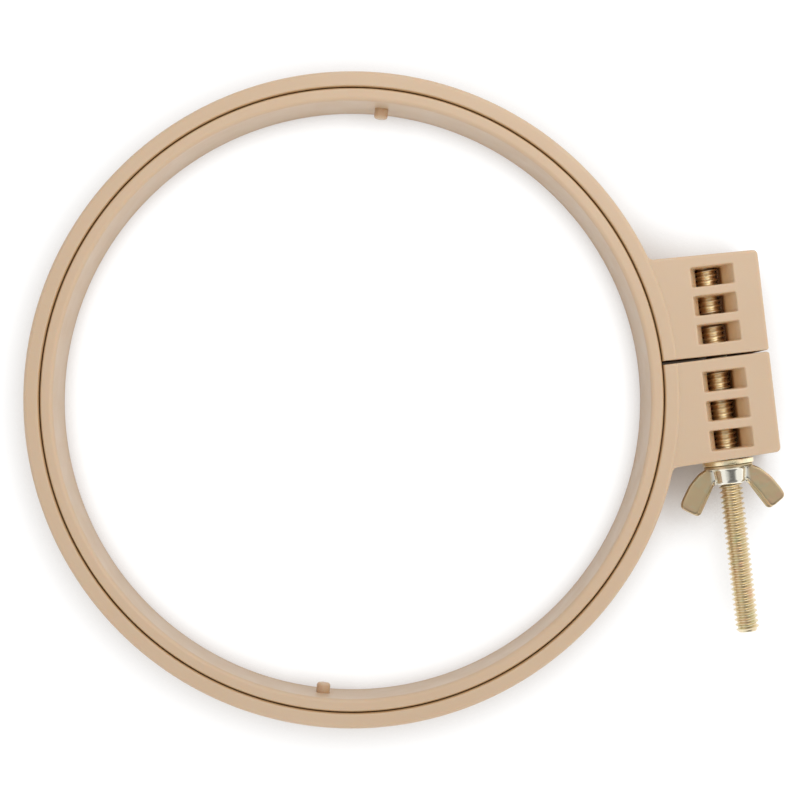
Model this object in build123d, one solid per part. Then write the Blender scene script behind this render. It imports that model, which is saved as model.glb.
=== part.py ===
from build123d import *

import math
import os

# Embroidery hoop, in millimetres. The origin is the hoop's centre on the plane that it rests on.
# +Z is the hoop's axis, +X runs out through the split between the two clamp lugs, and the screw
# lies along Y with its free end towards -Y.

# Rings
ring_height = 15.9
inner_ring_diameter = 126.6
seam_gap = 0.4
outer_ring_wall = 3.15
outer_edge_round = 0.9
seam_edge_chamfer = 0.2
inner_wall_at_top = 2.5
inner_wall_at_base = 2.7
inner_lip_round = 0.9
inner_base_chamfer = 0.3

# The turned pieces' roundings are drawn as a few flats each
flats_per_round = 2

# Grip pegs on the wall of the inner ring
peg_diameter = 2.8
peg_length = 2.0
peg_height = 7.4
peg_end_chamfer = 0.4
peg_angle = 77.5

# Clamp lugs, moulded in one piece with the outer ring on both sides of its split. Their widths hold
# at the screw's axis, and each narrows outwards by its taper in degrees.
lug_length = 18.55
lug_drop = 0.35
anchor_lug_width = 20.9
anchor_lug_taper = 1.2
clamp_lug_width = 21.0
clamp_lug_taper = 2.0
lug_corner_round = 1.0
lug_edge_chamfer = 0.3
lug_root_round = 1.2
lug_burial = 0.05
split_gap_at_ring = 0.8
split_gap_at_end = 0.3
split_corner_round = 0.6

# Cored windows over the screw, and the pockets between them from below. The insets run from each
# lug's outer side to the middle of its last window.
window_count = 3
first_window_offset = 4.85
clamp_window_inset = 4.1
anchor_window_inset = 4.35
window_share_of_pitch = 0.69
window_length = 8.9
window_knee_depth = 4.5
window_side_draft = 0.27
window_floor_drop = 0.4

# Screw
screw_diameter = 4.826
screw_length = 76.2
screw_offset = 8.85
screw_end_inset = 1.7
screw_end_chamfer = 0.7
screw_hole_diameter = 5.5
thread_bite = 0.08
socket_spare = 0.2

# Washer and wing nut
seat_clearance = 0.05
washer_diameter = 10.5
washer_hole_diameter = 5.3
washer_thickness = 1.0
washer_edge_chamfer = 0.15
nut_bore_clearance = 0.05
nut_bore_chamfer = 0.2
nut_base_diameter = 10.0
nut_base_thickness = 0.7
nut_base_chamfer = 0.2
nut_shoulder_height = 1.7
nut_shoulder_round = 1.0
hub_root_diameter = 6.9
hub_end_diameter = 6.2
hub_height = 4.1
hub_end_chamfer = 0.25
wing_span = 22.0
wing_height = 10.4
wing_thickness = 1.9
wing_tip_round = 1.1
wing_edge_chamfer = 0.3
wing_root_round = 0.7
wing_root_inset = 0.6
wing_crotch_drop = 0.55
wing_crotch_offset = 0.2

# Points on one wing's outline, as shares of half the span and of the wing's height
wing_outer_bend_share = (0.785, 0.34)
wing_shoulder_share = (1.0, 0.75)
wing_tip_share = (0.655, 1.0)
wing_inner_bend_share = (0.46, 0.66)

# How far a cutting shape runs past the faces that it cuts, and how near an edge lies to be found
overrun = 1.0
near_enough = 0.01

inner_ring_radius = inner_ring_diameter / 2
bore_radius = inner_ring_radius + seam_gap
outer_radius = bore_radius + outer_ring_wall
lug_end = outer_radius + lug_length
lug_base = lug_drop
lug_top = ring_height - lug_drop
screw_x = outer_radius + screw_offset
screw_z = ring_height / 2
screw_start = anchor_lug_width - screw_end_inset
anchor_side_slope = math.tan(math.radians(anchor_lug_taper))
clamp_side_slope = math.tan(math.radians(clamp_lug_taper))
washer_face = -clamp_lug_width - washer_diameter / 2 * clamp_side_slope - seat_clearance
nut_face = washer_face - washer_thickness - seat_clearance


def corners(face, points):
    """The corners of a flat face that lie nearest the given points."""
    return [face.vertices().sort_by_distance(point)[0] for point in points]


def with_flats(face):
    """The same outline, with each of its arcs drawn as a few flats."""
    points = []
    for edge in face.face().outer_wire().order_edges():
        steps = flats_per_round if edge.geom_type == GeomType.CIRCLE else 1
        run = [edge @ (step / steps) for step in range(steps + 1)]
        if points and (run[0] - points[-1]).length > (run[-1] - points[-1]).length:
            run.reverse()
        points += run[1:] if points else run
    return make_face(Polyline(*points[:-1], close=True))


def ring(profile_face):
    """Turns a profile in the XZ plane once round the hoop's axis."""
    return revolve(Plane.XZ * with_flats(profile_face), Axis.Z)


def outer_ring_profile():
    """The outer ring's section: a flat-sided wall with well rounded outer edges."""
    middle = Location((bore_radius + outer_ring_wall / 2, ring_height / 2))
    wall = middle * Rectangle(outer_ring_wall, ring_height)
    outside = [(outer_radius, 0), (outer_radius, ring_height)]
    inside = [(bore_radius, 0), (bore_radius, ring_height)]
    wall = fillet(corners(wall, outside), outer_edge_round)
    return chamfer(corners(wall, inside), seam_edge_chamfer)


def inner_ring_profile():
    """The inner ring's section: a drafted wall, upright at the seam, with a rounded lip."""
    seam_base = (inner_ring_radius, 0)
    seam_top = (inner_ring_radius, ring_height)
    lip = (inner_ring_radius - inner_wall_at_top, ring_height)
    foot = (inner_ring_radius - inner_wall_at_base, 0)
    wall = make_face(Polyline(seam_base, seam_top, lip, foot, close=True))
    wall = chamfer(corners(wall, [seam_base, seam_top]), seam_edge_chamfer)
    wall = chamfer(corners(wall, [foot]), inner_base_chamfer)
    return fillet(corners(wall, [lip]), inner_lip_round)


def peg(angle):
    """One peg that stands out of the inner ring's wall towards its centre."""
    peg_root = inner_ring_radius - inner_wall_at_top / 2
    peg_tip = inner_ring_radius - inner_wall_at_base - peg_length
    bar = Cylinder(peg_diameter / 2, peg_root - peg_tip, align=(Align.CENTER, Align.CENTER, Align.MIN))
    bar = chamfer(bar.edges().sort_by(Axis.Z)[-1], peg_end_chamfer)
    inward = Plane(origin=(peg_root, 0, peg_height), z_dir=(-1, 0, 0))
    return Rot(0, 0, angle) * (inward * bar)


def make_inner_ring():
    """The plain inner ring with its two opposite pegs."""
    body = ring(inner_ring_profile())
    for angle in (peg_angle, peg_angle + 180):
        body += peg(angle)
    return body


def split_outline():
    """The narrow wedge of air, in plan, that splits the ring and parts the two lugs."""
    start = bore_radius - overrun
    end = lug_end + overrun
    slope = (split_gap_at_end - split_gap_at_ring) / (lug_end - bore_radius)
    start_half = (split_gap_at_ring + slope * (start - bore_radius)) / 2
    end_half = (split_gap_at_ring + slope * (end - bore_radius)) / 2
    outline = [(start, start_half), (end, end_half), (end, -end_half), (start, -start_half)]
    return make_face(Polyline(*outline, close=True))


def lug_plan():
    """Both lugs in plan, on a band that is buried in the ring's wall, with rounded corners."""
    def outer_sides(x):
        inward = screw_x - x
        return [
            (x, anchor_lug_width + inward * anchor_side_slope),
            (x, -clamp_lug_width - inward * clamp_side_slope),
        ]

    buried_radius = outer_radius - lug_burial
    ends = outer_sides(lug_end)
    both_lugs = Polyline(*outer_sides(0), *reversed(ends), close=True)
    plan = Circle(buried_radius) + make_face(both_lugs)
    plan = fillet(corners(plan, outer_sides(outer_radius)), lug_root_round)
    plan -= split_outline()
    plan = fillet(corners(plan, ends), lug_corner_round)
    split_ends = [(lug_end, side * split_gap_at_end / 2) for side in (1, -1)]
    plan = fillet(corners(plan, split_ends), split_corner_round)
    return plan - Circle(buried_radius - outer_ring_wall / 2)


def lugs():
    """Both lugs as solid blocks with broken rims, before their cores are taken out."""
    block = Pos(0, 0, lug_base) * extrude(lug_plan(), lug_top - lug_base)
    rims = block.faces().filter_by(Axis.Z).edges()
    return chamfer(rims.filter_by(lambda e: (e @ 0.5).X > outer_radius - lug_root_round), lug_edge_chamfer)


def cored_pocket(centre_y, width_at_mouth, width_at_floor, mouth_z):
    """A pocket from its mouth to just past the screw's axis. Its ends slope down to a knee only."""
    down = math.copysign(1, screw_z - mouth_z)
    floor_z = screw_z + down * window_floor_drop
    knee_z = mouth_z + down * window_knee_depth

    def prism(plane, narrow, wide, narrow_z, reach):
        spread = 1 + overrun / abs(narrow_z - mouth_z)
        past_mouth = narrow + (wide - narrow) * spread
        one_side = [(narrow / 2, floor_z), (past_mouth / 2, mouth_z - down * overrun)]
        if narrow_z != floor_z:
            one_side.insert(1, (narrow / 2, narrow_z))
        other_side = [(-u, z) for u, z in reversed(one_side)]
        return extrude(plane * make_face(Polyline(*one_side, *other_side, close=True)), reach, both=True)

    along_lug = prism(Plane.XZ, screw_hole_diameter, window_length, knee_z, width_at_mouth)
    along_screw = prism(Plane.YZ, width_at_floor, width_at_mouth, floor_z, window_length)
    return Pos(screw_x, centre_y, 0) * (along_lug & along_screw)


def window_centres(lug_width, window_inset):
    """How far each of a lug's windows lies from the split, along the screw."""
    last = lug_width - window_inset
    pitch = (last - first_window_offset) / (window_count - 1)
    return [first_window_offset + index * pitch for index in range(window_count)]


def window_widths(centres):
    """The width of a lug's windows at their mouths and at their floors."""
    at_mouth = (centres[1] - centres[0]) * window_share_of_pitch
    return at_mouth, at_mouth - 2 * window_side_draft


def lug_cores(side, centres):
    """The windows from above and the pockets from below that core one lug along the screw."""
    at_mouth, at_floor = window_widths(centres)
    rib = centres[1] - centres[0] - at_floor
    cores = [cored_pocket(side * centre, at_mouth, at_floor, lug_top) for centre in centres]
    for before, after in zip(centres, centres[1:]):
        middle = side * (before + after) / 2
        cores.append(cored_pocket(middle, rib + 2 * window_side_draft, rib, lug_base))
    return cores


def screw_rod(radius, start_y, end_y):
    """A round bar along the screw's axis from one Y to another."""
    along = Plane(origin=(screw_x, start_y, screw_z), z_dir=(0, math.copysign(1, end_y - start_y), 0))
    return along * Cylinder(radius, abs(end_y - start_y), align=(Align.CENTER, Align.CENTER, Align.MIN))


def end_slot(start_y, end_y):
    """A straight slot, as wide as the screw hole, from under the lug up to the screw's axis."""
    height = screw_z - lug_base + overrun
    slot = Box(screw_hole_diameter, abs(end_y - start_y), height)
    return Pos(screw_x, (start_y + end_y) / 2, screw_z - height / 2) * slot


def make_outer_ring():
    """The split outer ring with its two lugs, their windows, pockets and screw saddles."""
    split = Pos(0, 0, -overrun) * extrude(split_outline(), ring_height + 2 * overrun)
    body = ring(outer_ring_profile()) - split + lugs()

    clamp_centres = window_centres(clamp_lug_width, clamp_window_inset)
    anchor_centres = window_centres(anchor_lug_width, anchor_window_inset)
    clamp_half = window_widths(clamp_centres)[1] / 2
    anchor_half = window_widths(anchor_centres)[1] / 2
    clamp_side = -clamp_lug_width - overrun
    body -= screw_rod(screw_hole_diameter / 2, anchor_centres[0] - anchor_half, clamp_side)
    body -= screw_rod(screw_diameter / 2 - thread_bite, 0, screw_start + socket_spare)
    body -= end_slot(clamp_half - clamp_centres[0], anchor_centres[0] - anchor_half)
    body -= end_slot(-clamp_centres[-1] - clamp_half, clamp_side)
    for core in lug_cores(1, anchor_centres) + lug_cores(-1, clamp_centres):
        body -= core
    return body


def make_clamp_screw():
    """The headless clamp screw: a rod with a chamfer at each end, held in the anchor lug."""
    rod = screw_rod(screw_diameter / 2, screw_start, screw_start - screw_length)
    return chamfer(rod.edges().filter_by(GeomType.CIRCLE), screw_end_chamfer)


def make_washer():
    """The flat washer that bears on the clamp lug."""
    disc = screw_rod(washer_diameter / 2, washer_face, washer_face - washer_thickness)
    disc = chamfer(disc.edges().filter_by(GeomType.CIRCLE), washer_edge_chamfer)
    return disc - screw_rod(washer_hole_diameter / 2, washer_face + overrun, nut_face - overrun)


def nut_hub_profile():
    """Half of the hub's section: base flange, sloped shoulder and slightly tapered hub."""
    base = nut_base_diameter / 2
    points = [
        (0, 0),
        (base, 0),
        (base, nut_base_thickness),
        (hub_root_diameter / 2, nut_shoulder_height),
        (hub_end_diameter / 2, hub_height),
        (0, hub_height),
    ]
    half = make_face(Polyline(*points, close=True))
    half = chamfer(corners(half, points[1:3]), nut_base_chamfer)
    half = fillet(corners(half, points[3:4]), nut_shoulder_round)
    return chamfer(corners(half, points[4:5]), hub_end_chamfer)


def nut_wing():
    """One flat wing in the XY plane, swept outwards and away from the base."""
    def placed(share):
        return share[0] * wing_span / 2, share[1] * wing_height
    root = (nut_base_diameter / 2 - wing_root_inset, nut_base_thickness / 2)
    crotch = (hub_end_diameter / 2 + wing_crotch_offset, hub_height - wing_crotch_drop)
    shoulder = placed(wing_shoulder_share)
    tip = placed(wing_tip_share)
    edges = [
        ThreePointArc(root, placed(wing_outer_bend_share), shoulder),
        Line(shoulder, tip),
        ThreePointArc(tip, placed(wing_inner_bend_share), crotch),
        Line(crotch, (0, crotch[1])),
        Line((0, crotch[1]), (0, root[1])),
        Line((0, root[1]), root),
    ]
    outline = make_face(Wire(edges))
    face = fillet(corners(outline, [shoulder, tip]), wing_tip_round)
    plate = extrude(face, wing_thickness / 2, both=True)
    rims = plate.faces().filter_by(Axis.Z).edges()
    return chamfer(rims.filter_by(lambda e: (e @ 0.5).X > hub_end_diameter / 2), wing_edge_chamfer)


def wing_seams(body):
    """The curved edges where the wings' flat sides run into the hub."""
    def on_hub(edge):
        middle = edge @ 0.5
        on_side = abs(abs(middle.Z) - wing_thickness / 2) < near_enough
        near_hub = math.hypot(middle.X, middle.Z) < nut_base_diameter / 2 - nut_base_chamfer
        return on_side and near_hub and nut_base_thickness < middle.Y < hub_height - hub_end_chamfer
    return body.edges().filter_by(GeomType.LINE, reverse=True).filter_by(on_hub)


def make_wing_nut():
    """The one-piece wing nut: flanged hub, two wings and a bore that clears the screw."""
    hub = revolve(with_flats(nut_hub_profile()), Axis.Y)
    wing = nut_wing()
    body = hub + wing + mirror(wing, Plane.YZ)
    body = fillet(wing_seams(body), wing_root_round)
    bore_face = screw_diameter / 2 + nut_bore_clearance
    body -= Rot(90, 0, 0) * Cylinder(bore_face, 2 * wing_height)
    mouths = body.edges().filter_by(GeomType.CIRCLE).filter_by(
        lambda edge: abs(edge.radius - bore_face) < near_enough
    )
    body = chamfer(mouths, nut_bore_chamfer)
    placement = Plane(origin=(screw_x, nut_face, screw_z), x_dir=(1, 0, 0), z_dir=(0, 0, -1))
    return placement * body


pieces = {
    "outer_ring": make_outer_ring(),
    "inner_ring": make_inner_ring(),
    "clamp_screw": make_clamp_screw(),
    "washer": make_washer(),
    "wing_nut": make_wing_nut(),
}

os.makedirs("parts", exist_ok=True)
for name, solid in pieces.items():
    export_step(solid, f"parts/{name}.step")
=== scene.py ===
import logging
import math
from collections.abc import Iterable, Sequence
from dataclasses import dataclass
from enum import Enum
from functools import cached_property

import bmesh
import bpy
from mathutils import Matrix, Vector


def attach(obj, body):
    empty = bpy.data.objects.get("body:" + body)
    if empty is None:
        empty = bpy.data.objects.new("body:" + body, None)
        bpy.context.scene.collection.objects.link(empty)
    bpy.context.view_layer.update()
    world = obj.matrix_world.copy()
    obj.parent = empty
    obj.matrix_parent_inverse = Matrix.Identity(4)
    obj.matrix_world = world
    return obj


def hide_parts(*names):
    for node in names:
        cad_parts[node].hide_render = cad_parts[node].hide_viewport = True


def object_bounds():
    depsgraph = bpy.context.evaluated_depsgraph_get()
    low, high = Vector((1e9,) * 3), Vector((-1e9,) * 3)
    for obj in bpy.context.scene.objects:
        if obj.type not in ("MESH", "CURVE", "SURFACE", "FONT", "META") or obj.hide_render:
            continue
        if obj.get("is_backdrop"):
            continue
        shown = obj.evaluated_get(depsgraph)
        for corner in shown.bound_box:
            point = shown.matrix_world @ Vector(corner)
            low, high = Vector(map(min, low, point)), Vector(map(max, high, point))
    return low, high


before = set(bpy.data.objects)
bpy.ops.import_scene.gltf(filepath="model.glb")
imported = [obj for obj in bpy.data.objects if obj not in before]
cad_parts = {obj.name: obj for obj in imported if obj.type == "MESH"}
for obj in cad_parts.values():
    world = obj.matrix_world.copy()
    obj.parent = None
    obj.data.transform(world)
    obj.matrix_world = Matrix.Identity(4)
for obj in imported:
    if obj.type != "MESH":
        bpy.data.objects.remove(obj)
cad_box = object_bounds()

Solid = bpy.types.Object
Mesh = bmesh.types.BMesh
Face = bmesh.types.BMFace
Node = bpy.types.Node
Socket = bpy.types.NodeSocket
Group = bpy.types.NodeTree
Material = bpy.types.Material
Colour = tuple[float, float, float, float]
Triple = tuple[float, float, float]
Span = tuple[float, float]
# The corners of a flat outline in order, each with its two coordinates and, if it is round, its radius
Outline = Sequence[tuple[float, ...]]
Feed = float | tuple[float, ...] | Socket | Node

log = logging.getLogger("embroidery_hoop")

MM = 0.001
FULL_TURN = 2 * math.pi
QUARTER_TURN = tuple(math.radians(angle) for angle in (0, 22.5, 45, 67.5, 90))
UPRIGHT = Matrix.Rotation(math.radians(90), 4, "X")
# How far a cutting solid reaches past the faces that it cuts, in millimetres
OVERRUN = 1.0
# The angle in degrees above which an edge of a finished piece stays sharp
SHARP_ABOVE = 38.0
# One pitch of the screw's thread, as shares of the pitch and of the thread's depth
THREAD_SHAPE = (
    (0.0, 0.0), (0.09, 0.0), (0.14, 0.07), (0.4, 0.9), (0.44, 1.0), (0.56, 1.0), (0.6, 0.9), (0.86, 0.07),
    (0.91, 0.0), (1.0, 0.0),
)
# Corners closer than this many millimetres become one
WELD = 1e-4
WHITE = (1.0, 1.0, 1.0, 1.0)


class Body(Enum):
    """The CAD bodies that the pieces ride on."""

    OUTER = "outer_frame"
    INNER = "inner_frame"
    WASHER = "washer_body"
    NUT = "nut_body"


class Slot(Enum):
    """The record's material slots."""

    PLASTIC = "hoop_plastic"
    THREAD = "zinc_thread"
    PLATE = "zinc_plate"


class Cut(Enum):
    """How one solid is combined with another."""

    UNITE = "UNION"
    REMOVE = "DIFFERENCE"


# Mesh tools. Sizes are in millimetres until a piece is finished.


def round_off(bm: Mesh, geom: Sequence[object], size: float, segments: int, affect: str = "EDGES") -> None:
    """Rounds edges, or the corners of an outline where affect is VERTICES."""
    bmesh.ops.bevel(
        bm, geom=geom, offset=size, offset_type="OFFSET", segments=segments, profile=0.5, affect=affect,
        material=-1,
    )


def draw_outline(bm: Mesh, outline: Outline, segments: int) -> Face:
    """Draws a closed outline in the XY plane and rounds its corners.

    Args:
        bm: The mesh that gets the outline.
        outline: The outline.
        segments: How many edges each rounding has.

    Returns:
        The flat face inside the outline.
    """
    places = [Vector(corner[:2]) for corner in outline]
    verts = [bm.verts.new((*place, 0.0)) for place in places]
    face = bm.faces.new(verts)
    for index, (vert, here, (_, _, *radius)) in enumerate(zip(verts, places, outline)):
        if not radius:
            continue
        before, after = places[index - 1], places[(index + 1) % len(places)]
        turn = (before - here).angle(after - here)
        round_off(bm, [vert], radius[0] / math.tan(turn / 2), segments, "VERTICES")
        face = bm.faces[:][-1] if not face.is_valid else face
    return face


def raise_face(bm: Mesh, face: Face, move: Triple) -> Face:
    """Extrudes one face and moves its far end.

    Args:
        bm: The mesh that holds the face.
        face: The face to extrude.
        move: How far the far end moves.

    Returns:
        The face at the far end.
    """
    closes_a_wall = any(len(edge.link_faces) > 1 for edge in face.edges)
    grown = bmesh.ops.extrude_face_region(bm, geom=[face])["geom"]
    far = next(item for item in grown if isinstance(item, Face))
    if closes_a_wall:
        bmesh.ops.delete(bm, geom=[face], context="FACES_ONLY")
    bmesh.ops.translate(bm, verts=far.verts, vec=move)
    return far


def round_bar(radius: float, low: float, high: float, steps: int) -> tuple[Mesh, Face]:
    """Makes a plain round bar along Z.

    Args:
        radius: Its radius.
        low: Where it starts.
        high: Where it ends.
        steps: How many sides it has.

    Returns:
        The bar's mesh and its far end.
    """
    bm = bmesh.new()
    bmesh.ops.create_circle(bm, cap_ends=True, radius=radius, segments=steps)
    bmesh.ops.translate(bm, verts=bm.verts, vec=(0, 0, low))
    return bm, raise_face(bm, bm.faces[:][0], (0, 0, high - low))


def new_object(name: str, data: bpy.types.ID) -> Solid:
    """Puts a new object into the scene."""
    thing = bpy.data.objects.new(name, data)
    bpy.context.scene.collection.objects.link(thing)
    return thing


def mesh_object(name: str, bm: Mesh) -> Solid:
    """Turns a bmesh into an object of the scene, with its normals outwards.

    Args:
        name: The object's name.
        bm: The finished mesh, which is freed.

    Returns:
        The new object, still in millimetres.
    """
    bmesh.ops.recalc_face_normals(bm, faces=bm.faces)
    mesh = bpy.data.meshes.new(name)
    bm.to_mesh(mesh)
    bm.free()
    return new_object(name, mesh)


def turned(name: str, outline: Outline, segments: int, steps: int) -> Solid:
    """Turns an outline once round the Z axis into a closed solid.

    Args:
        name: The solid's name.
        outline: Its section, as distances from the axis and heights.
        segments: How many edges each rounding has.
        steps: How many steps the full turn has.

    Returns:
        The solid, still in millimetres.
    """
    bm = bmesh.new()
    face = draw_outline(bm, outline, segments)
    rim = [*face.verts, *face.edges]
    bmesh.ops.delete(bm, geom=[face], context="FACES_ONLY")
    bm.transform(UPRIGHT)
    bmesh.ops.spin(
        bm, geom=rim, cent=(0, 0, 0), axis=(0, 0, 1), dvec=(0, 0, 0), angle=FULL_TURN, steps=steps,
        use_merge=True,
    )
    bmesh.ops.remove_doubles(bm, verts=bm.verts, dist=WELD)
    return mesh_object(name, bm)


def apply_modifiers(piece: Solid) -> None:
    """Bakes a piece's modifiers into its mesh."""
    graph = bpy.context.evaluated_depsgraph_get()
    baked = bpy.data.meshes.new_from_object(piece.evaluated_get(graph))
    spent = piece.data
    piece.modifiers.clear()
    piece.data = baked
    bpy.data.meshes.remove(spent)


def combine(piece: Solid, tool: Solid, how: Cut) -> None:
    """Unites a piece with another solid, or cuts that solid out of it.

    Args:
        piece: The piece that is changed.
        tool: The other solid, which is used up.
        how: Whether the tool is added or taken away.
    """
    modifier = piece.modifiers.new(how.name.lower(), "BOOLEAN")
    modifier.operation = how.value
    modifier.solver = "EXACT"
    modifier.object = tool
    apply_modifiers(piece)
    bpy.data.meshes.remove(tool.data)


def finish_mesh(piece: Solid, axis: Span | None = None, along: float = 0.0) -> Solid:
    """Puts a piece in its place in metres and shades it smooth between its sharp edges.

    Args:
        piece: The piece, still in millimetres.
        axis: How far out and how high the screw's axis lies, for a piece that turns about it.
        along: Where such a piece starts along Y.

    Returns:
        The same piece.
    """
    mesh = piece.data
    place = Matrix.Translation((axis[0], along, axis[1])) @ UPRIGHT if axis else Matrix.Identity(4)
    mesh.transform(Matrix.Scale(MM, 4) @ place)
    mesh.shade_smooth()
    mesh.set_sharp_from_angle(angle=math.radians(SHARP_ABOVE))
    piece.modifiers.new("level_normals", "WEIGHTED_NORMAL").keep_sharp = True
    mesh.update()
    return piece


# Shader tools


class Bench:
    """A node tree under construction."""

    def __init__(self, tree: Group) -> None:
        """Starts on an emptied tree."""
        self.tree = tree
        tree.nodes.clear()

    def feed(self, socket: Socket, value: Feed) -> None:
        """Links a socket to another one or to a node's first output, or sets it to a plain value."""
        if isinstance(value, Socket | Node):
            self.tree.links.new(value.outputs[0] if isinstance(value, Node) else value, socket)
        else:
            socket.default_value = value

    def add(self, kind: str, **values: object) -> Node:
        """Adds a node and fits it out.

        Args:
            kind: The node's type, without the ShaderNode that starts it.
            values: Its inputs, named in capitals with underscores for spaces, and its other properties.

        Returns:
            The new node.
        """
        node = self.tree.nodes.new("ShaderNode" + kind)
        for name, value in values.items():
            if name[0].isupper():
                self.feed(node.inputs[name.replace("_", " ")], value)
            else:
                setattr(node, name, value)
        return node

    def line_up(self, node: Node, *values: Feed) -> Node:
        """Feeds a node's inputs in their order, where they share one name."""
        for socket, value in zip(node.inputs, values):
            self.feed(socket, value)
        return node

    def math(self, operation: str, first: Feed, second: Feed = 0.0, clamp: bool = False) -> Socket:
        """The result of a Math node, kept between 0 and 1 if it is clamped."""
        return self.line_up(self.add("Math", operation=operation, use_clamp=clamp), first, second).outputs[0]

    def times(self, first: Feed, second: Feed, clamp: bool = False) -> Socket:
        """The product of two values."""
        return self.math("MULTIPLY", first, second, clamp)

    def vector(self, operation: str, *values: Feed) -> Socket:
        """The result of a Vector Math node, which is a number for a length or a dot product."""
        node = self.line_up(self.add("VectorMath", operation=operation), *values)
        return node.outputs["Value" if operation in ("LENGTH", "DOT_PRODUCT") else "Vector"]

    def ramp(self, value: Feed, low: Feed, high: Feed, to_low: Feed = 0.0, to_high: Feed = 1.0) -> Socket:
        """Maps the range from low to high onto another one, and keeps values beyond it at its ends."""
        spans = {"From_Min": low, "From_Max": high, "To_Min": to_low, "To_Max": to_high}
        return self.add("MapRange", Value=value, **spans).outputs["Result"]

    def blend(self, amount: Feed, first: Feed, second: Feed) -> Socket:
        """Mixes two colours.

        Args:
            amount: The share of the second.
            first: The first colour.
            second: The second colour.

        Returns:
            The mixed colour.
        """
        node = self.add("Mix", data_type="RGBA")
        # A Mix node has sockets for each kind of data, and the colours are inputs 6 and 7 and output 2
        for index, value in ((0, amount), (6, first), (7, second)):
            self.feed(node.inputs[index], value)
        return node.outputs[2]

    def noise(self, vector: Feed, scale: Feed, detail: float, roughness: float = 0.55) -> Socket:
        """The value of a Noise Texture, whose scale is per metre."""
        values = {"Vector": vector, "Scale": scale, "Detail": detail, "Roughness": roughness}
        return self.add("TexNoise", noise_dimensions="3D", **values).outputs["Fac"]

    def use(self, group: Group, **values: Feed) -> Sequence[Socket]:
        """Places a shared group, feeds it and hands back its outputs."""
        return self.add("Group", node_tree=group, **values).outputs


class Port(Enum):
    """The kinds of socket on a shared group."""

    NUMBER = "NodeSocketFloat"
    VECTOR = "NodeSocketVector"
    COLOUR = "NodeSocketColor"


NUMBER, VECTOR, COLOUR = Port


class GroupBench(Bench):
    """A shared group under construction."""

    def __init__(self, name: str, gives: dict[str, Port], **takes: Port) -> None:
        """Starts a group.

        Args:
            name: The group's name.
            gives: Its outputs.
            takes: Its inputs.
        """
        super().__init__(bpy.data.node_groups.new(name, "ShaderNodeTree"))
        for way, ports in (("INPUT", takes), ("OUTPUT", gives)):
            for label, port in ports.items():
                self.tree.interface.new_socket(label, in_out=way, socket_type=port.value)
        self.given = self.tree.nodes.new("NodeGroupInput").outputs
        self.result = self.tree.nodes.new("NodeGroupOutput")

    def close(self, *results: Feed) -> Group:
        """Feeds the outputs in their order and hands back the group."""
        self.line_up(self.result, *results)
        return self.tree


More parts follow.
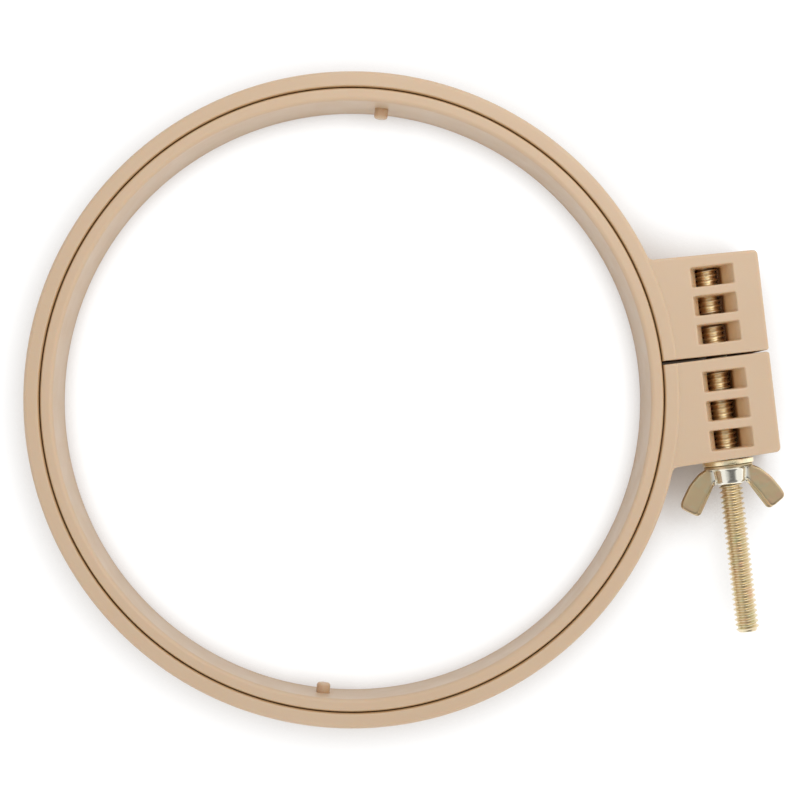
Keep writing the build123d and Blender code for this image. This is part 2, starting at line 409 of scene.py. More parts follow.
class SharedEffects:
    """Shader groups that several finishes use, each built once."""

    @cached_property
    def around_axis(self) -> Group:
        """Coordinates round the Z axis: the angle as an arc length, the radius and the height."""
        gives = {"Vector": VECTOR, "Distance": NUMBER}
        bench = GroupBench("around_axis", gives, Vector=VECTOR, Radius=NUMBER)
        x, y, z = bench.add("SeparateXYZ", Vector=bench.given["Vector"]).outputs
        arc = bench.times(bench.math("ARCTAN2", y, x), bench.given["Radius"])
        squares = bench.math("ADD", bench.math("POWER", x, 2.0), bench.math("POWER", y, 2.0))
        distance = bench.math("SQRT", squares)
        joined = bench.add("CombineXYZ", X=arc, Y=distance, Z=z)
        return bench.close(joined, distance)

    @cached_property
    def mottle(self) -> Group:
        """A soft uneven value between two limits."""
        bench = GroupBench("mottle", {"Value": NUMBER}, Vector=VECTOR, Scale=NUMBER, Low=NUMBER, High=NUMBER)
        vector, scale, low, high = bench.given[:4]
        cloud = bench.noise(vector, scale, detail=4.0)
        return bench.close(bench.ramp(cloud, low=0.3, high=0.7, to_low=low, to_high=high))

    @cached_property
    def rub_lines(self) -> Group:
        """Fine lines that run along the first coordinate, in patches."""
        bench = GroupBench(
            "rub_lines", {"Mask": NUMBER}, Vector=VECTOR, Fineness=NUMBER, Stretch=NUMBER, Amount=NUMBER
        )
        vector, fineness, stretch, amount = bench.given[:4]
        squeeze = bench.add("CombineXYZ", X=bench.math("DIVIDE", 1.0, stretch), Y=1.0, Z=1.0)
        stretched = bench.vector("MULTIPLY", vector, squeeze)
        lines = bench.ramp(bench.noise(stretched, fineness, detail=2.0), low=0.52, high=0.68)
        patches = bench.ramp(bench.noise(vector, scale=90.0, detail=2.0), low=0.42, high=0.64)
        return bench.close(bench.times(bench.times(lines, patches), amount, clamp=True))

    @cached_property
    def edge_polish(self) -> Group:
        """A mask of the outer edges that hands and tables have rubbed."""
        bench = GroupBench("edge_polish", {"Mask": NUMBER}, Vector=VECTOR, Width=NUMBER, Patchiness=NUMBER)
        vector, width, patchiness = bench.given[:3]
        rounded = bench.add("Bevel", samples=4, Radius=width)
        facing = bench.vector("DOT_PRODUCT", rounded, bench.add("NewGeometry").outputs["Normal"])
        edge = bench.ramp(facing, low=0.985, high=0.9)
        patches = bench.ramp(bench.noise(vector, scale=260.0, detail=3.0), low=0.3, high=patchiness)
        return bench.close(bench.times(edge, patches, clamp=True))

    @cached_property
    def crevice(self) -> Group:
        """A mask of the narrow, closed-in places, read from ambient occlusion."""
        bench = GroupBench("crevice", {"Mask": NUMBER}, Reach=NUMBER, Amount=NUMBER)
        openness = bench.add("AmbientOcclusion", samples=4, Distance=bench.given["Reach"])
        closed = bench.ramp(openness.outputs["AO"], low=0.75, high=0.15)
        return bench.close(bench.times(closed, bench.given["Amount"], clamp=True))

    @cached_property
    def plating(self) -> Group:
        """The drifting yellow, pink and green tints of passivated zinc."""
        tints = {"Ground": COLOUR, "Warm": COLOUR, "Cool": COLOUR}
        bench = GroupBench("plating", {"Colour": COLOUR}, Vector=VECTOR, Scale=NUMBER, **tints)
        vector, scale, ground, warm, cool = bench.given[:5]
        drift = bench.noise(vector, scale, detail=3.0, roughness=0.6)
        # The second pattern is read a little way off, so that the two don't match
        other = bench.noise(bench.vector("ADD", vector, (0.37, 0.11, 0.53)), scale, detail=2.0)
        warmed = bench.blend(bench.ramp(drift, low=0.5, high=0.72), ground, warm)
        return bench.close(bench.blend(bench.ramp(other, low=0.52, high=0.74), warmed, cool))


def new_material(name: str) -> tuple[Material, Bench]:
    """Starts a material with an empty tree."""
    material = bpy.data.materials.new(name)
    material.use_nodes = True
    return material, Bench(material.node_tree)


@dataclass(frozen=True)
class MouldedPlastic:
    """The satin tan plastic of both rings, with lengths in metres."""

    effects: SharedEffects
    colour: Colour = (0.612, 0.455, 0.312, 1.0)
    drift_colour: Colour = (0.588, 0.426, 0.282, 1.0)
    drift_amount: float = 0.55
    worn_colour: Colour = (0.665, 0.51, 0.365, 1.0)
    worn_amount: float = 0.4
    # Painted bounce light in closed-in pockets
    painted_bounce_colour: Colour = (0.82, 0.6, 0.36, 1.0)
    # Painted shade for the deep pockets and for narrow nooks and creases
    painted_shade_colour: Colour = (0.42, 0.21, 0.08, 1.0)
    deep_heights: Span = (0.0116, 0.0096)
    # Painted shade along the seam between the two rings
    seam_shade_colour: Colour = (0.46, 0.28, 0.13, 1.0)
    seam_radius: float = 0.0635
    seam_reach: Span = (0.00046, 0.00028)
    gloss: Span = (0.36, 0.5)
    rub_gloss: float = 0.12
    worn_gloss: float = 0.08

    def make(self) -> Material:
        """Builds the material.

        Returns:
            The finished material.
        """
        material, bench = new_material("moulded_tan_plastic")
        mottle, crevice = self.effects.mottle, self.effects.crevice
        place = bench.add("TexCoord").outputs["Object"]
        around, distance = bench.use(self.effects.around_axis, Vector=place, Radius=0.064)
        flow = bench.use(mottle, Vector=place, Scale=28.0, Low=0.0, High=1.0)[0]
        tone = bench.blend(bench.times(flow, self.drift_amount), self.colour, self.drift_colour)
        edges = bench.use(self.effects.edge_polish, Vector=place, Width=0.0005, Patchiness=0.62)[0]
        tone = bench.blend(bench.times(edges, self.worn_amount), tone, self.worn_colour)
        # Closed-in places, such as the windows' sloping ends, are painted lighter and more orange: painted
        # bounce light between the plastic walls
        pockets = bench.use(crevice, Reach=0.007, Amount=1.3)[0]
        tone = bench.blend(pockets, tone, self.painted_bounce_colour)
        # Low in the pockets, beside the screw, the walls get painted shade
        deep = bench.ramp(bench.add("SeparateXYZ", Vector=place).outputs["Z"], *self.deep_heights)
        tone = bench.blend(bench.times(deep, pockets), tone, self.painted_shade_colour)
        # Narrow nooks and creases of the plastic get painted shade
        nooks = bench.use(crevice, Reach=0.0012, Amount=1.0)[0]
        tone = bench.blend(nooks, tone, self.painted_shade_colour)
        # A band along the seam between the rings gets painted shade, patchy along its length
        from_seam = bench.math("ABSOLUTE", bench.math("SUBTRACT", distance, self.seam_radius))
        seam = bench.ramp(from_seam, *self.seam_reach)
        seam_patches = bench.use(mottle, Vector=place, Scale=300.0, Low=0.8, High=1.0)[0]
        tone = bench.blend(bench.times(seam, seam_patches), tone, self.seam_shade_colour)

        rubs = bench.use(self.effects.rub_lines, Vector=around, Fineness=5200.0, Stretch=14.0, Amount=0.8)[0]
        low, high = self.gloss
        gloss = bench.use(mottle, Vector=place, Scale=160.0, Low=low, High=high)[0]
        gloss = bench.math("ADD", gloss, bench.times(rubs, self.rub_gloss))
        gloss = bench.math("SUBTRACT", gloss, bench.times(edges, self.worn_gloss))

        grain = bench.noise(place, scale=4200.0, detail=2.0)
        swell = bench.noise(place, scale=120.0, detail=2.0)
        fine = bench.add("Bump", Strength=0.18, Distance=0.00002, Height=grain)
        broad = bench.add("Bump", Strength=0.25, Distance=0.0001, Height=swell, Normal=fine)
        scored = bench.add("Bump", invert=True, Strength=0.2, Distance=0.00001, Height=rubs, Normal=broad)
        shader = bench.add(
            "BsdfPrincipled", Base_Color=tone, Roughness=gloss, Normal=scored, IOR=1.49,
            Subsurface_Weight=0.4, Subsurface_Radius=(1.0, 0.6, 0.35), Subsurface_Scale=0.0016,
        )
        bench.add("OutputMaterial", Surface=shader)
        return material


@dataclass(frozen=True)
class PlatedSteel:
    """Zinc plated steel with its thin coloured film, with lengths in metres."""

    effects: SharedEffects
    axis: Triple
    name: str
    ground: Colour
    warm: Colour
    cool: Colour
    gloss: Span
    rub_amount: float
    silver_highlight_reach: float = 0.0
    silver_highlight_fade: float = 0.86
    silver_highlight_colour: Colour = (0.87, 0.84, 0.74, 1.0)
    silver_highlight_gloss: float = 0.14
    nook_amount: float = 0.5
    nook_shares: Triple = (0.35, 0.3, 0.28)
    # Painted highlight: past this point along Y the thread is painted paler
    painted_highlight_beyond: float = 1.0
    painted_highlight_fade: float = 0.002
    painted_highlight_colour: Colour = (0.97, 0.86, 0.62, 1.0)
    rub_gloss: float = 0.12
    nook_gloss: float = 0.2

    def make(self) -> Material:
        """Builds the material.

        Returns:
            The finished material.
        """
        material, bench = new_material(self.name)
        effects = self.effects
        place = bench.add("TexCoord").outputs["Object"]
        centred = bench.add(
            "Mapping", vector_type="TEXTURE", Vector=place, Location=self.axis,
            Rotation=(math.radians(90), 0.0, 0.0),
        )
        around, distance = bench.use(effects.around_axis, Vector=centred, Radius=0.004)
        tints = {"Ground": self.ground, "Warm": self.warm, "Cool": self.cool}
        tone = bench.use(effects.plating, Vector=place, Scale=420.0, **tints)[0]
        low, high = self.gloss
        gloss = bench.use(effects.mottle, Vector=place, Scale=900.0, Low=low, High=high)[0]
        # Round the hub the plate is whiter and smoother: partly a more silvery finish, partly a painted
        # highlight on the shoulder
        if self.silver_highlight_reach:
            silver_highlight = bench.ramp(distance, self.silver_highlight_reach, self.silver_highlight_reach * self.silver_highlight_fade)
            tone = bench.blend(silver_highlight, tone, self.silver_highlight_colour)
            gloss = bench.ramp(silver_highlight, 0.0, 1.0, gloss, self.silver_highlight_gloss)
        # The thread inside the lugs is painted paler and brighter, a painted highlight
        along = bench.add("SeparateXYZ", Vector=place).outputs["Y"]
        painted_highlight = bench.ramp(along, self.painted_highlight_beyond, self.painted_highlight_beyond + self.painted_highlight_fade)
        tone = bench.blend(painted_highlight, tone, self.painted_highlight_colour)
        nooks = bench.use(effects.crevice, Reach=0.0006, Amount=self.nook_amount)[0]
        dull = (*(level * share for level, share in zip(self.warm, self.nook_shares)), 1.0)
        tone = bench.blend(nooks, tone, dull)
        rubs = bench.use(
            effects.rub_lines, Vector=around, Fineness=9000.0, Stretch=12.0, Amount=self.rub_amount
        )[0]
        gloss = bench.math("ADD", gloss, bench.times(rubs, self.rub_gloss))
        gloss = bench.math("ADD", gloss, bench.times(nooks, self.nook_gloss))
        pits = bench.noise(place, scale=3200.0, detail=3.0)
        cast = bench.add("Bump", Strength=0.2, Distance=0.00003, Height=pits)
        scored = bench.add("Bump", invert=True, Strength=0.25, Distance=0.00001, Height=rubs, Normal=cast)
        shader = bench.add("BsdfPrincipled", Base_Color=tone, Metallic=1.0, Roughness=gloss, Normal=scored)
        bench.add("OutputMaterial", Surface=shader)
        return material


class Finishes:
    """Every finish of the hoop, made once."""

    def __init__(self, screw: Span) -> None:
        """Makes the materials.

        Args:
            screw: How far out and how high the screw's axis lies, in millimetres.
        """
        effects = SharedEffects()
        axis = (screw[0] * MM, 0.0, screw[1] * MM)
        self.plastic = MouldedPlastic(effects).make()
        self.thread = PlatedSteel(
            effects, axis, name="yellow_zinc_thread", ground=(0.77, 0.65, 0.435, 1.0),
            warm=(0.8, 0.6, 0.43, 1.0), cool=(0.7, 0.67, 0.46, 1.0), gloss=(0.26, 0.38),
            rub_amount=0.5, nook_amount=0.25, painted_highlight_beyond=-0.021,
        ).make()
        self.plate = PlatedSteel(
            effects, axis, name="pale_zinc_plate", ground=(0.6, 0.465, 0.28, 1.0),
            warm=(0.65, 0.43, 0.28, 1.0), cool=(0.54, 0.5, 0.33, 1.0), gloss=(0.3, 0.42),
            rub_amount=0.6, silver_highlight_reach=0.0043,
        ).make()
        self.washer = PlatedSteel(
            effects, axis, name="gold_zinc_washer", ground=(0.98, 0.85, 0.56, 1.0),
            warm=(0.98, 0.78, 0.53, 1.0), cool=(0.92, 0.87, 0.62, 1.0), gloss=(0.16, 0.28),
            rub_amount=0.7, nook_amount=0.15,
        ).make()


def dress(piece: Solid, finish: Material, slot: Slot, body: Body, node: str) -> None:
    """Gives a piece its finish and its place in the frame.

    Args:
        piece: The finished piece.
        finish: Its material.
        slot: The record's slot that the finish stands for; not used.
        body: The CAD body that it rides on.
        node: The CAD node that it replaces.
    """
    piece.data.materials.clear()
    piece.data.materials.append(finish)
    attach(piece, body.value)
    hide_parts(node)
    log.info("%s: %d faces on %s", piece.name, len(piece.data.polygons), body.value)


@dataclass
class OuterRing:
    """The split outer ring with its two cored clamp lugs, in millimetres."""

    height: float = 15.9
    bore_radius: float = 63.61
    wall: float = 3.24
    edge_round: float = 0.9
    seam_round: float = 0.55
    turn_steps: int = 288
    lug_length: float = 18.55
    lug_drop: float = 0.35
    anchor_width: float = 20.9
    anchor_taper: float = 1.2
    clamp_width: float = 21.0
    clamp_taper: float = 2.0
    lug_corner_round: float = 1.0
    lug_rim_round: float = 0.45
    lug_root_round: float = 1.3
    lug_root_x: float = 63.4
    lug_tail: float = 3.0
    lug_tail_x: float = 50.0
    lug_tail_skin: float = 0.04
    gap_at_ring: float = 0.8
    gap_at_end: float = 0.3
    gap_read_at: Span = (66.0, 66.6)
    gap_step: float = 0.19
    gap_rim_round: float = 0.35
    gap_corner_round: float = 0.6
    skim: float = 0.013
    screw_offset: float = 8.85
    screw_hole_radius: float = 2.75
    screw_bite_radius: float = 2.333
    screw_bore_steps: int = 48
    screw_start: float = 19.2
    screw_play: float = 0.2
    window_length: float = 8.9
    window_share: float = 0.69
    window_draft: float = 0.27
    window_knee_depth: float = 4.5
    window_floor_drop: float = 0.4
    window_floor_round: float = 0.3
    window_rim_round: float = 0.35
    anchor_windows: tuple[float, ...] = (4.85, 10.7, 16.55)
    clamp_windows: tuple[float, ...] = (-4.85, -10.875, -16.9)

    def __post_init__(self) -> None:
        """Works out the outer wall, the lugs' outer and upper faces and the screw's axis."""
        self.outer_radius = self.bore_radius + self.wall
        self.lug_end = self.outer_radius + self.lug_length
        self.lug_top = self.height - self.lug_drop
        self.screw_x = self.outer_radius + self.screw_offset
        self.screw_z = self.height / 2

    def _flank(self, facing: int, width: float, taper: float) -> Outline:
        """The corners of one lug, from its outer end to behind the ring's wall.

        Args:
            facing: 1 for the lug on the +Y side, -1 for the other.
            width: How wide the lug is at the screw.
            taper: The angle in degrees by which its outer side closes in.

        Returns:
            The corners in order.
        """
        slope = math.tan(math.radians(taper))

        def side(x: float) -> float:
            """How far the lug's outer side is from the split, at a distance out."""
            return width + (self.screw_x - x) * slope

        root = math.sqrt(self.outer_radius**2 - side(self.lug_root_x) ** 2)
        tail = width + self.lug_tail
        behind = math.sqrt((self.outer_radius - self.lug_tail_skin) ** 2 - tail**2)
        return [
            (self.lug_end, facing * side(self.lug_end), self.lug_corner_round),
            (root, facing * side(root), self.lug_root_round),
            (behind, facing * tail),
            (self.lug_tail_x, facing * tail),
        ]

    def _lug_block(self) -> Solid:
        """Both lugs as one block with rounded corners and hollow roots, cored to the ring's wall."""
        anchor = self._flank(1, self.anchor_width, self.anchor_taper)
        clamp = self._flank(-1, self.clamp_width, self.clamp_taper)
        bm = bmesh.new()
        face = draw_outline(bm, [clamp[0], *anchor, *clamp[:0:-1]], segments=6)
        bmesh.ops.translate(bm, verts=bm.verts, vec=(0, 0, self.lug_drop))
        raise_face(bm, face, (0, 0, self.lug_top - self.lug_drop))
        rims = [edge for edge in bm.edges if abs(edge.verts[0].co.z - edge.verts[1].co.z) < WELD]
        round_off(bm, rims, self.lug_rim_round, segments=4)
        block = mesh_object("lug_block", bm)
        middle = self.outer_radius - self.wall / 2
        core, _ = round_bar(middle, -OVERRUN, self.height + OVERRUN, self.turn_steps)
        combine(block, mesh_object("lug_core", core), Cut.REMOVE)
        return block

    def _gap(self) -> Solid:
        """The air of the split, with its rounded rims, drawn out along X from station to station."""
        rim, flare = self.gap_rim_round, self.gap_corner_round
        slope = (self.gap_at_end - self.gap_at_ring) / (self.lug_end - self.bore_radius)

        def half(x: float) -> float:
            """Half the gap's width at a distance out."""
            return (self.gap_at_ring + slope * (x - self.bore_radius)) / 2

        start = self.bore_radius - OVERRUN
        lug_rim = self.lug_drop - self.skim
        # Each station holds how far out it lies, half the gap's width and how far the rims lie down
        stations = [
            (start, half(start), 0.0),
            (self.outer_radius - self.edge_round, half(self.gap_read_at[0]), 0.0),
            (self.outer_radius - self.gap_step, half(self.gap_read_at[1]), lug_rim),
        ]
        for angle in QUARTER_TURN:
            x = self.lug_end - flare + flare * math.sin(angle)
            stations.append((x, half(x) + flare * (1 - math.cos(angle)), lug_rim))
        stations.append((self.lug_end + OVERRUN, stations[-1][1], lug_rim))

        bm = bmesh.new()
        wide, narrow = stations[0][1] + rim, stations[0][1]
        top, above = self.height, self.height + OVERRUN
        right = [
            (wide, -OVERRUN), (wide, 0.0), (narrow, 0.0, rim), (narrow, top, rim),
            (wide, top), (wide, above),
        ]
        left = [(-across, *rest) for across, *rest in right]
        face = draw_outline(bm, [left[0], *right, *left[:0:-1]], segments=4)
        bm.transform(Matrix(((0, 0, 1, start), (1, 0, 0, 0), (0, 1, 0, 0), (0, 0, 0, 1))))
        for before, after in zip(stations, stations[1:]):
            face = raise_face(bm, face, (after[0] - before[0], 0, 0))
            widen, lower = after[1] - before[1], after[2] - before[2]
            for side in (1, -1):
                flank = [vert for vert in face.verts if vert.co.y * side > 0]
                bmesh.ops.translate(bm, verts=flank, vec=(0, side * widen, 0))
                level = [vert for vert in face.verts if (vert.co.z - self.screw_z) * side > 0]
                bmesh.ops.translate(bm, verts=level, vec=(0, 0, -side * lower))
        return mesh_object("split_gap", bm)

    def _pocket(self, centre_y: float, at_mouth: float, at_floor: float, facing: int) -> Solid:
        """A pocket over the screw, with ends that slope down to a knee and a rounded rim at its mouth.

        Args:
            centre_y: Where its middle lies along the screw.
            at_mouth: Its width at the mouth.
            at_floor: Its width at the floor.
            facing: 1 if it opens upwards, -1 if it opens downwards.

        Returns:
            The pocket as a solid.
        """
        rim = self.window_rim_round
        floor_x = 2 * self.screw_hole_radius
        depth = self.lug_top - self.screw_z + self.window_floor_drop
        knee = depth - self.window_knee_depth
        draft = (at_mouth - at_floor) / depth
        slope = (self.window_length - floor_x) / self.window_knee_depth
        floor = [
            (a * floor_x / 2, b * at_floor / 2, self.window_floor_round)
            for a, b in ((-1, -1), (1, -1), (1, 1), (-1, 1))
        ]
        bm = bmesh.new()
        face = draw_outline(bm, floor, segments=3)
        near = (self.window_length - rim * slope, at_mouth - rim * draft)
        # Each section holds its height over the floor, its length and its width
        sections = [(0.0, floor_x, at_floor), (knee, floor_x, at_floor + knee * draft), (depth - rim, *near)]
        for angle in QUARTER_TURN[1:]:
            spread = 2 * rim * (1 - math.cos(angle))
            sections.append((depth - rim + rim * math.sin(angle), near[0] + spread, near[1] + spread))
        sections.append((depth + OVERRUN, *sections[-1][1:]))
        for before, after in zip(sections, sections[1:]):
            face = raise_face(bm, face, (0, 0, after[0] - before[0]))
            grow = (after[1] / before[1], after[2] / before[2], 1.0)
            bmesh.ops.scale(bm, verts=face.verts, vec=grow)
        bmesh.ops.scale(bm, verts=bm.verts, vec=(1, 1, facing))
        floor_z = self.screw_z - facing * self.window_floor_drop
        bmesh.ops.translate(bm, verts=bm.verts, vec=(self.screw_x, centre_y, floor_z))
        return mesh_object("pocket", bm)

    def _window_widths(self, centres: Sequence[float]) -> Span:
        """The width of a lug's windows at their mouths and at their floors."""
        at_mouth = abs(centres[1] - centres[0]) * self.window_share
        return at_mouth, at_mouth - 2 * self.window_draft

    def _pockets(self) -> Iterable[Solid]:
        """Every window from above, and every pocket between two windows from below."""
        for centres in (self.anchor_windows, self.clamp_windows):
            at_mouth, at_floor = self._window_widths(centres)
            rib = abs(centres[1] - centres[0]) - at_floor
            for centre in centres:
                yield self._pocket(centre, at_mouth, at_floor, 1)
            for before, after in zip(centres, centres[1:]):
                yield self._pocket((before + after) / 2, rib + 2 * self.window_draft, rib, -1)

    def _screw_bores(self) -> Iterable[Solid]:
        """The clearance hole, the gripped stud's hole and the slots that open them downwards."""
        split_wall = self.anchor_windows[0] - self._window_widths(self.anchor_windows)[1] / 2 + self.skim
        end_wall = abs(self.clamp_windows[-1]) + self._window_widths(self.clamp_windows)[1] / 2 - self.skim
        outside = self.clamp_width + OVERRUN
        place = Matrix.Translation((self.screw_x, 0, self.screw_z)) @ UPRIGHT
        for radius, low, high in (
            (self.screw_hole_radius, -split_wall, outside),
            (self.screw_bite_radius, -self.screw_start - self.screw_play, 0.0),
        ):
            bm, _ = round_bar(radius, low, high, self.screw_bore_steps)
            bm.transform(place)
            yield mesh_object("screw_bore", bm)
        tall = self.screw_z + OVERRUN
        for low, high in ((-split_wall, split_wall), (-outside, -end_wall)):
            bm = bmesh.new()
            bmesh.ops.create_cube(bm, size=1.0)
            bmesh.ops.scale(bm, verts=bm.verts, vec=(2 * self.screw_hole_radius, high - low, tall))
            middle = (self.screw_x, (low + high) / 2, self.screw_z - tall / 2)
            bmesh.ops.translate(bm, verts=bm.verts, vec=middle)
            yield mesh_object("screw_slot", bm)

    def build(self) -> Solid:
        """Builds the outer ring.

        Returns:
            The finished piece.
        """
        section = [
            (self.bore_radius, 0.0, self.seam_round), (self.outer_radius, 0.0, self.edge_round),
            (self.outer_radius, self.height, self.edge_round),
            (self.bore_radius, self.height, self.seam_round),
        ]
        piece = turned("split_outer_ring", section, segments=6, steps=self.turn_steps)
        combine(piece, self._lug_block(), Cut.UNITE)
        combine(piece, self._gap(), Cut.REMOVE)
        for tool in (*self._pockets(), *self._screw_bores()):
            combine(piece, tool, Cut.REMOVE)
        return finish_mesh(piece)


@dataclass
class InnerRing:
    """The plain inner ring with its two grip pegs, in millimetres."""

    height: float = 15.9
    radius: float = 63.39
    wall_at_top: float = 2.59
    wall_at_base: float = 2.79
    seam_round: float = 0.55
    lip_round: float = 0.9
    foot_round: float = 0.4
    turn_steps: int = 288
    peg_radius: float = 1.4
    peg_length: float = 2.0
    peg_height: float = 7.4
    peg_end_round: float = 0.6
    peg_steps: int = 40
    peg_angles: Span = (77.5, 257.5)

    def _peg(self, angle: float) -> Solid:
        """One round-ended peg, set in the wall and pointing at the centre.

        Args:
            angle: Where it stands round the ring, in degrees.

        Returns:
            The peg as a solid.
        """
        root = self.radius - self.wall_at_top / 2
        reach = root - (self.radius - self.wall_at_base - self.peg_length)
        bm, end = round_bar(self.peg_radius, 0.0, reach, self.peg_steps)
        round_off(bm, list(end.edges), self.peg_end_round, segments=5)
        inward = Matrix.Translation((root, 0, self.peg_height)) @ Matrix.Rotation(math.radians(-90), 4, "Y")
        place = Matrix.Rotation(math.radians(angle), 4, "Z") @ inward
        bm.transform(place)
        return mesh_object("grip_peg", bm)

    def build(self) -> Solid:
        """Builds the inner ring.

        Returns:
            The finished piece.
        """
        section = [
            (self.radius, 0.0, self.seam_round), (self.radius, self.height, self.seam_round),
            (self.radius - self.wall_at_top, self.height, self.lip_round),
            (self.radius - self.wall_at_base, 0.0, self.foot_round),
        ]
        piece = turned("plain_inner_ring", section, segments=6, steps=self.turn_steps)
        for angle in self.peg_angles:
            combine(piece, self._peg(angle), Cut.UNITE)
        return finish_mesh(piece)


@dataclass
class ClampScrew:
    """The headless screw with its rolled thread, in millimetres."""

    axis: Span
    start: float = 19.2
    length: float = 76.2
    radius: float = 2.413
    root_radius: float = 1.88
    pitch: float = 1.0583
    lead_in: float = 1.5
    tip_chamfer: float = 0.7
    steps_per_turn: int = 32
    weld: float = 1e-3

    def build(self) -> Solid:
        """Builds the screw.

        Returns:
            The finished piece.
        """
        depth = self.radius - self.root_radius
        bm = bmesh.new()
        lead_in = self.lead_in * self.pitch
        ridge = [
            bm.verts.new((self.root_radius + up * depth, 0.0, along * self.pitch - lead_in))
            for along, up in THREAD_SHAPE
        ]
        lines = [bm.edges.new(pair) for pair in zip(ridge, ridge[1:])]
        rise = (0, 0, self.pitch / self.steps_per_turn)
        bmesh.ops.spin(
            bm, geom=[*ridge, *lines], cent=(0, 0, 0), axis=(0, 0, 1), dvec=rise, angle=FULL_TURN,
            steps=self.steps_per_turn,
        )
        one_turn = [*bm.verts, *bm.edges, *bm.faces]
        # The thread starts before the screw and runs on past it, and the ends are cut off below
        for turn in range(1, math.ceil(self.length / self.pitch) + 2):
            copy = bmesh.ops.duplicate(bm, geom=one_turn)["geom"]
            verts = [item for item in copy if isinstance(item, bmesh.types.BMVert)]
            bmesh.ops.translate(bm, verts=verts, vec=(0, 0, turn * self.pitch))
        bmesh.ops.remove_doubles(bm, verts=bm.verts, dist=self.weld)
        for height, facing in ((0.0, -1), (self.length, 1)):
            bmesh.ops.bisect_plane(
                bm, geom=[*bm.verts, *bm.edges, *bm.faces], plane_co=(0, 0, height),
                plane_no=(0, 0, facing), clear_outer=True,
            )
        bmesh.ops.holes_fill(bm, edges=[edge for edge in bm.edges if edge.is_boundary], sides=0)
        for vert in bm.verts:
            from_end = min(vert.co.z, self.length - vert.co.z)
            limit = self.radius - self.tip_chamfer + from_end
            reach = vert.co.xy.length
            if reach > limit:
                vert.co.xy *= limit / reach
        return finish_mesh(mesh_object("threaded_screw", bm), self.axis, self.start)


@dataclass
class Washer:
    """The flat washer between the clamp lug and the nut, in millimetres."""

    axis: Span
    face: float = -21.233
    radius: float = 5.25
    hole_radius: float = 2.65
    thickness: float = 1.0
    edge_round: float = 0.18
    burr_round: float = 0.08
    turn_steps: int = 96

    def build(self) -> Solid:
        """Builds the washer.

        Returns:
            The finished piece.
        """
        section = [
            (self.hole_radius, 0.0, self.burr_round), (self.radius, 0.0, self.burr_round),
            (self.radius, self.thickness, self.edge_round),
            (self.hole_radius, self.thickness, self.edge_round),
        ]
        piece = turned("flat_washer", section, segments=3, steps=self.turn_steps)
        return finish_mesh(piece, self.axis, self.face)


@dataclass
class WingNut:
    """The cast wing nut: a flanged hub with two swept wings, in millimetres."""

    axis: Span
    face: float = -22.283
    bore_radius: float = 2.463
    bore_chamfer: float = 0.2
    bore_steps: int = 64
    base_radius: float = 5.0
    base_thickness: float = 0.4
    base_round: float = 0.15
    shoulder_height: float = 0.85
    shoulder_round: float = 0.4
    hub_root_radius: float = 3.5
    hub_end_radius: float = 3.1
    hub_end_round: float = 0.9
    hub_height: float = 4.1
    hub_steps: int = 96
    wing_thickness: float = 1.9
    wing_rim_round: float = 0.35
    wing_step: float = 0.55
    grain: float = 0.1
    soften_steps: int = 9

    def _wing(self, side: int, thickness: float, inset: float) -> Solid:
        """One layer of a wing as a flat plate with rounded rims.

        Args:
            side: 1 for the wing along +X, -1 for the other.
            thickness: How thick the layer is.
            inset: How far its inner side keeps back from the wing's own inner side.

        Returns:
            The layer as a solid.
        """
        outline = [
            (1.4, 0.35), (4.5, 0.35), (6.4, 1.35, 2.6), (8.55, 3.45, 5.0),
            (10.3, 6.2, 5.0), (10.95, 7.75, 1.0),
            (7.2 + inset, 10.25 - 0.65 * inset, 1.0), (5.1 + inset, 6.75 - 0.5 * inset, 6.0),
            (3.3, 3.7 - inset, 1.5 - inset), (1.4, 3.7 - inset),
        ]
        bm = bmesh.new()
        face = draw_outline(bm, outline, segments=5)
        bm.transform(UPRIGHT)
        bmesh.ops.translate(bm, verts=bm.verts, vec=(0, -thickness / 2, 0))
        far = raise_face(bm, face, (0, thickness, 0))
        round_off(bm, [*face.edges, *far.edges], self.wing_rim_round, segments=4)
        bmesh.ops.scale(bm, verts=bm.verts, vec=(side, 1, 1))
        return mesh_object("nut_wing", bm)

    def _bore(self) -> Solid:
        """The bore that clears the screw, chamfered at both mouths."""
        wide = self.bore_radius + self.bore_chamfer + OVERRUN
        above = self.hub_height + OVERRUN
        section = [
            (0.0, -OVERRUN), (wide, -OVERRUN), (self.bore_radius, self.bore_chamfer),
            (self.bore_radius, self.hub_height - self.bore_chamfer), (wide, above),
            (0.0, above),
        ]
        return turned("nut_bore", section, segments=1, steps=self.bore_steps)

    def build(self) -> Solid:
        """Builds the wing nut.

        Returns:
            The finished piece.
        """
        section = [
            (0.0, 0.0), (self.base_radius, 0.0, self.base_round),
            (self.base_radius, self.base_thickness, self.base_round),
            (self.hub_root_radius, self.shoulder_height, self.shoulder_round),
            (self.hub_end_radius, self.hub_height, self.hub_end_round), (0.0, self.hub_height),
        ]
        piece = turned("cast_wing_nut", section, segments=5, steps=self.hub_steps)
        core = self.wing_thickness - 2 * self.wing_step
        for side in (1, -1):
            for thickness, inset in ((self.wing_thickness, self.wing_step), (core, 0.0)):
                combine(piece, self._wing(side, thickness, inset), Cut.UNITE)
        skin = piece.modifiers.new("cast_skin", "REMESH")
        skin.mode = "VOXEL"
        skin.voxel_size = self.grain
        apply_modifiers(piece)
        bm = bmesh.new()
        bm.from_mesh(piece.data)
        every_way = {"use_axis_" + axis: True for axis in "xyz"}
        for _ in range(self.soften_steps):
            bmesh.ops.smooth_vert(bm, verts=bm.verts, factor=0.5, **every_way)
        bm.to_mesh(piece.data)
        bm.free()
        combine(piece, self._bore(), Cut.REMOVE)
        return finish_mesh(piece, self.axis, self.face)


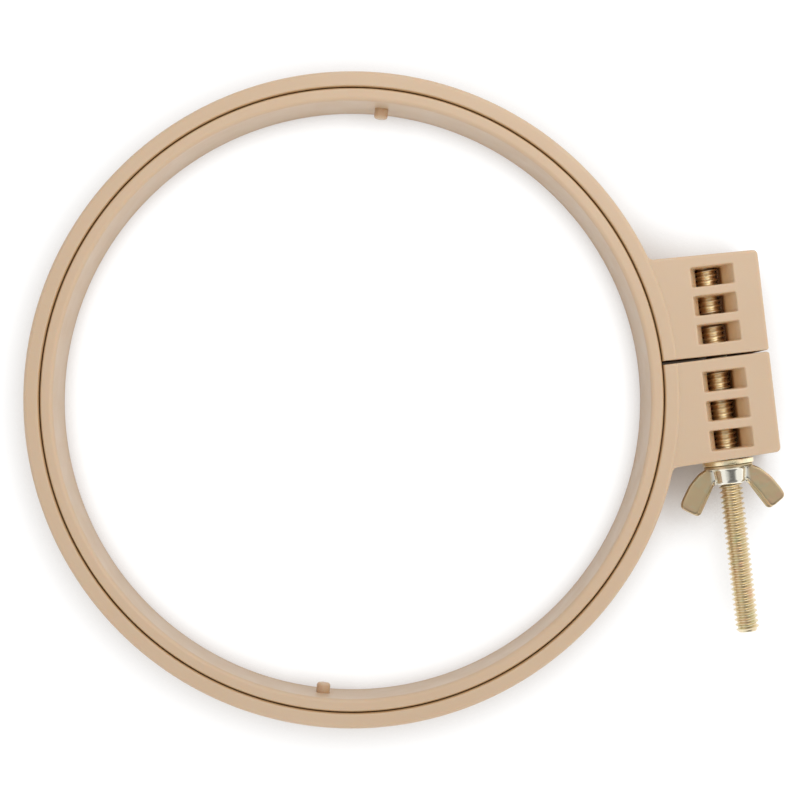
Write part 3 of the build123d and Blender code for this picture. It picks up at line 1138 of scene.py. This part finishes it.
@dataclass
class Studio:
    """The pale table, the soft light and the camera over it, in metres."""

    camera_place: Triple = (0.00173, -0.00973, 0.4259)
    camera_turn: float = -6.75
    lens: float = 90.9
    sensor: float = 36.0
    shift: Span = (0.0425, 0.058)
    clip: Span = (0.01, 20.0)
    floor_size: float = 3.0
    floor_drop: float = 0.00003
    floor_tone: float = 0.4
    floor_bounce: float = 0.6
    floor_glow: float = 0.8
    shade_bounds: Span = (0.0605, 0.0665)
    shade_reach: Span = (0.009, 0.014)
    shade_low: float = 0.12
    shade_high: Span = (0.75, 0.92)
    shade_floor: float = 0.06
    # The colour of deep painted shade on the table, a painted stand-in for light bounced off the tan plastic
    shade_colour: Colour = (0.84, 0.6, 0.42, 1.0)
    shade_warm_below: float = 0.7
    near_side: Triple = (0.34, -0.94, 0.0)
    side_fade: Span = (-0.6, 0.6)
    side_levels: Span = (0.62, 1.2)
    zenith_fade: Span = (0.5, 0.85)
    zenith_level: float = 0.85
    gloss_fade: Span = (0.72, 0.9)
    gloss_levels: Span = (1.0, 0.6)
    dark_card: Triple = (0.15, -0.7, 0.7)
    card_fade: Span = (0.79, 0.86)
    card_level: float = 0.25
    key_power: float = 0.36
    key_place: Triple = (0.14, 0.17, 0.27)
    key_size: float = 0.3

    def camera(self) -> None:
        """Sets the camera straight over the hoop."""
        lens = bpy.data.cameras.new("camera")
        lens.lens = self.lens
        lens.sensor_width = self.sensor
        lens.shift_x, lens.shift_y = self.shift
        lens.clip_start, lens.clip_end = self.clip
        camera = new_object("camera", lens)
        camera.location = self.camera_place
        camera.rotation_euler = (0.0, 0.0, math.radians(self.camera_turn))
        bpy.context.scene.camera = camera

    def floor(self) -> None:
        """Lays the pale table, which shows white with only the hoop's soft shade on it: partly cast by the
        lamps, partly painted into its glow from ambient occlusion.
        """
        bm = bmesh.new()
        bmesh.ops.create_grid(bm, x_segments=1, y_segments=1, size=self.floor_size)
        bmesh.ops.translate(bm, verts=bm.verts, vec=(0, 0, -self.floor_drop))
        floor = mesh_object("table", bm)
        material, bench = new_material("white_table")
        # A mask of the rays that show the background: to the camera, in gloss and through glass
        path = bench.add("LightPath").outputs
        seen = bench.math("MAXIMUM", path["Is Camera Ray"], path["Is Glossy Ray"])
        seen = bench.math("MAXIMUM", seen, path["Is Transmission Ray"])
        tone = bench.ramp(seen, 0.0, 1.0, self.floor_bounce, self.floor_tone)
        paper = bench.add("BsdfDiffuse", Color=tone)
        # The painted shade reaches further outside the hoop, where no opposite wall sends light back
        radius = bench.vector("LENGTH", bench.add("TexCoord").outputs["Object"])
        outside = bench.ramp(radius, *self.shade_bounds)
        reach = bench.ramp(outside, 0.0, 1.0, *self.shade_reach)
        near = bench.add("AmbientOcclusion", samples=8, Distance=reach)
        high = bench.ramp(outside, 0.0, 1.0, *self.shade_high)
        open_floor = bench.ramp(near.outputs["AO"], self.shade_low, high, self.shade_floor, 1.0)
        # Deep painted shade is tinted warm, painted bounce light from the tan plastic
        neutral = bench.ramp(open_floor, 0.0, self.shade_warm_below)
        warmth = bench.blend(neutral, self.shade_colour, WHITE)
        level = bench.times(bench.times(seen, open_floor), self.floor_glow)
        glow = bench.add("Emission", Color=warmth, Strength=level)
        bench.add("OutputMaterial", Surface=bench.line_up(bench.add("AddShader"), paper, glow))
        floor.data.materials.append(material)
        floor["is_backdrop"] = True

    def sky(self) -> None:
        """Hangs a soft white tent round the table, with a dark card that shows in the metal only."""
        world = bpy.data.worlds.new("tent")
        bpy.context.scene.world = world
        world.use_nodes = True
        bench = Bench(world.node_tree)
        place = bench.add("TexCoord").outputs["Generated"]
        height = bench.add("SeparateXYZ", Vector=place).outputs["Z"]
        toward_near = bench.vector("DOT_PRODUCT", place, self.near_side)
        side = bench.ramp(toward_near, *self.side_fade, *self.side_levels)
        tent = bench.ramp(height, *self.zenith_fade, side, self.zenith_level)
        toward_card = bench.vector("DOT_PRODUCT", place, self.dark_card)
        card = bench.ramp(toward_card, *self.card_fade, 1.0, self.card_level)
        mirrored = bench.ramp(height, *self.gloss_fade, *self.gloss_levels)
        path = bench.add("LightPath").outputs
        plain = bench.math("MAXIMUM", path["Is Camera Ray"], path["Is Transmission Ray"])
        strength = bench.ramp(path["Is Glossy Ray"], 0.0, 1.0, tent, bench.times(mirrored, card))
        strength = bench.ramp(plain, 0.0, 1.0, strength, 1.0)
        bench.add("OutputWorld", Surface=bench.add("Background", Color=WHITE, Strength=strength))

    def lamps(self) -> None:
        """Hangs one broad soft lamp near the hoop, up and to its right."""
        light = bpy.data.lights.new("soft_key", "AREA")
        light.shape = "DISK"
        light.size = self.key_size
        light.energy = self.key_power
        lamp = new_object("soft_key", light)
        lamp.location = self.key_place
        lamp.rotation_euler = (-Vector(lamp.location)).to_track_quat("-Z", "Y").to_euler()

    def build(self) -> None:
        """Builds the whole stage."""
        self.camera()
        self.floor()
        self.sky()
        self.lamps()
        bpy.context.scene.view_settings.view_transform = "Standard"


def write_sizes() -> None:
    """Puts the CAD model's box and the dressed model's box side by side, but keeps and writes nothing."""
    boxes = {"cad": cad_box, "visual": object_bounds()}
    {name: [list(corner) for corner in box] for name, box in boxes.items()}


def main() -> None:
    """Builds the stage and every piece of the hoop, in order."""
    logging.basicConfig(level=logging.INFO, format="%(message)s")
    Studio().build()
    outer = OuterRing()
    axis = (outer.screw_x, outer.screw_z)
    finishes = Finishes(axis)
    dress(outer.build(), finishes.plastic, Slot.PLASTIC, Body.OUTER, "outer_ring")
    dress(InnerRing().build(), finishes.plastic, Slot.PLASTIC, Body.INNER, "inner_ring")
    dress(ClampScrew(axis).build(), finishes.thread, Slot.THREAD, Body.OUTER, "clamp_screw")
    dress(Washer(axis).build(), finishes.washer, Slot.PLATE, Body.WASHER, "washer")
    dress(WingNut(axis).build(), finishes.plate, Slot.PLATE, Body.NUT, "wing_nut")
    write_sizes()


if __name__ == "__main__":
    main()
